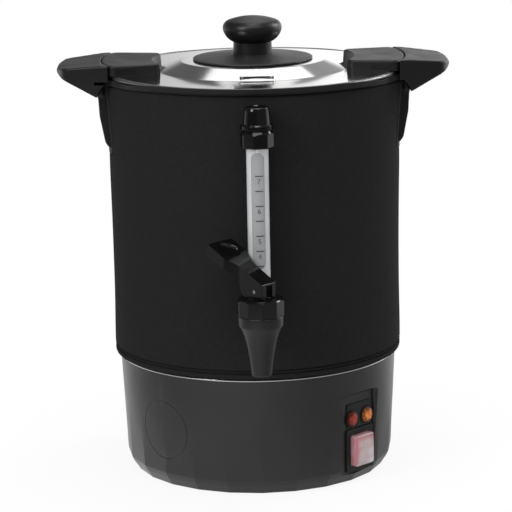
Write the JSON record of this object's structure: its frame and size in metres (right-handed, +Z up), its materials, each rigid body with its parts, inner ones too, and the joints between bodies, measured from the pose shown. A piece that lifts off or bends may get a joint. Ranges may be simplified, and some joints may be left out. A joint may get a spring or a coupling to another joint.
{
  "type": "hot water urn",
  "caption": "Jacketed steel hot water urn with a lift-off lid, two handles, a sight gauge, a lever tap and a heated plastic base.",
  "frame": {"origin": "on the tank's axis, at the plane of the rubber feet's undersides", "axes": "+Z up along the tank's axis, -Y towards the tap and gauge, +X to the right seen from the tap's side"},
  "size_m": [0.33, 0.3087, 0.3849],
  "materials": {
    "drawn_steel": "satin drawn stainless steel",
    "polished_steel": "polished stainless steel",
    "plain_steel": "plain plated steel",
    "jacket_vinyl": "fine-grained black vinyl over padding",
    "base_plastic": "dark grey moulded plastic, lightly sparked",
    "handle_plastic": "heat-proof moulding, satin",
    "knob_plastic": "glossy phenolic moulding",
    "tap_plastic": "glossy moulded plastic",
    "shield_plastic": "pale grey moulding, satin",
    "clear_plastic": "clear moulding",
    "gauge_glass": "clear glass tube",
    "seal_rubber": "food-safe silicone",
    "foot_rubber": "black rubber",
    "red_lens": "translucent red lens",
    "amber_lens": "translucent amber lens",
    "rocker_red": "translucent red moulding",
    "inner_plastic": "heat-proof moulding",
    "cast_alloy": "cast aluminium alloy",
    "brass": "plated brass"
  },
  "bodies": {
    "urn": {"tank": "drawn_steel", "tank_studs": "plain_steel", "tank_nuts": "plain_steel", "base_shell": "base_plastic", "base_trim_ring": "polished_steel", "base_floor": "plain_steel", "rubber_feet": "foot_rubber", "floor_screws": "plain_steel", "red_lamp": "red_lens", "amber_lamp": "amber_lens", "lamp_plate": "base_plastic", "switch_bezel": "base_plastic", "switch_body": "base_plastic", "switch_boot": "clear_plastic", "power_inlet": "base_plastic", "inlet_pins": "brass", "element_plate": "cast_alloy", "ring_heater": "plain_steel", "thermostat": "inner_plastic", "thermal_cutout": "inner_plastic", "terminal_block": "inner_plastic", "jacket": "jacket_vinyl", "right_handle": "handle_plastic", "left_handle": "handle_plastic", "handle_plates": "plain_steel", "handle_screws": "plain_steel", "gauge_shank": "tap_plastic", "outer_washer": "seal_rubber", "inner_washer": "seal_rubber", "shank_nut": "brass", "gauge_tube": "gauge_glass", "tube_seal": "seal_rubber", "gauge_shield": "shield_plastic", "gauge_window": "clear_plastic", "gauge_collar": "tap_plastic", "cap_seal": "seal_rubber", "gauge_cap": "tap_plastic", "tap_body": "tap_plastic", "tap_washer": "seal_rubber", "bonnet_gasket": "seal_rubber", "tap_bonnet": "tap_plastic"},
    "lid_seal": {"lid_seal": "seal_rubber"},
    "lid": {"lid_pan": "polished_steel", "left_lid_block": "handle_plastic", "right_lid_block": "handle_plastic", "lid_block_screws": "plain_steel", "knob_disc": "knob_plastic", "knob": "knob_plastic", "knob_screw": "plain_steel"},
    "valve_plug": {"seat_cup": "seal_rubber"},
    "tap_head": {"tap_stem": "tap_plastic", "lever_pin": "plain_steel"},
    "lever": {"tap_lever": "tap_plastic"},
    "switch_rocker": {"rocker": "rocker_red"},
    "reset_button": {"reset_button": "red_lens"}
  },
  "joints": [
    {"name": "lid_lift", "type": "slide", "parent": "urn", "child": "lid_seal", "axis": [0, 0, 1], "range_m": [0, 0.08]},
    {"name": "lid_turn", "type": "hinge", "parent": "lid_seal", "child": "lid", "pos_m": [0, 0, 0.3404], "axis": [0, 0, 1], "range_deg": [0, 40]},
    {"name": "valve_lift", "type": "slide", "parent": "urn", "child": "valve_plug", "axis": [0, 0, 1], "range_m": [0, 0.00502]},
    {"name": "lever_turn", "type": "hinge", "parent": "valve_plug", "child": "tap_head", "pos_m": [0, -0.167, 0.187], "axis": [0, 0, 1], "range_deg": [0, 262]},
    {"name": "lever_tilt", "type": "hinge", "parent": "tap_head", "child": "lever", "pos_m": [0, -0.167, 0.187], "axis": [-0.66, -0.7513, 0], "range_deg": [0, 35], "stiffness_Nm_per_rad": 0.4, "springref_deg": -28.65},
    {"name": "rocker_tip", "type": "hinge", "parent": "urn", "child": "switch_rocker", "pos_m": [0.08082, -0.07193, 0.0278], "axis": [0.6947, 0.7193, 0], "range_deg": [0, 14]},
    {"name": "reset_press", "type": "slide", "parent": "urn", "child": "reset_button", "axis": [0, 0, 1], "range_m": [0, 0.0015], "stiffness_N_per_m": 300, "springref_m": -0.001}
  ],
  "couplings": [
    {"joint": "valve_lift", "follows": "lever_tilt", "m_per_rad": 0.0081851}
  ]
}
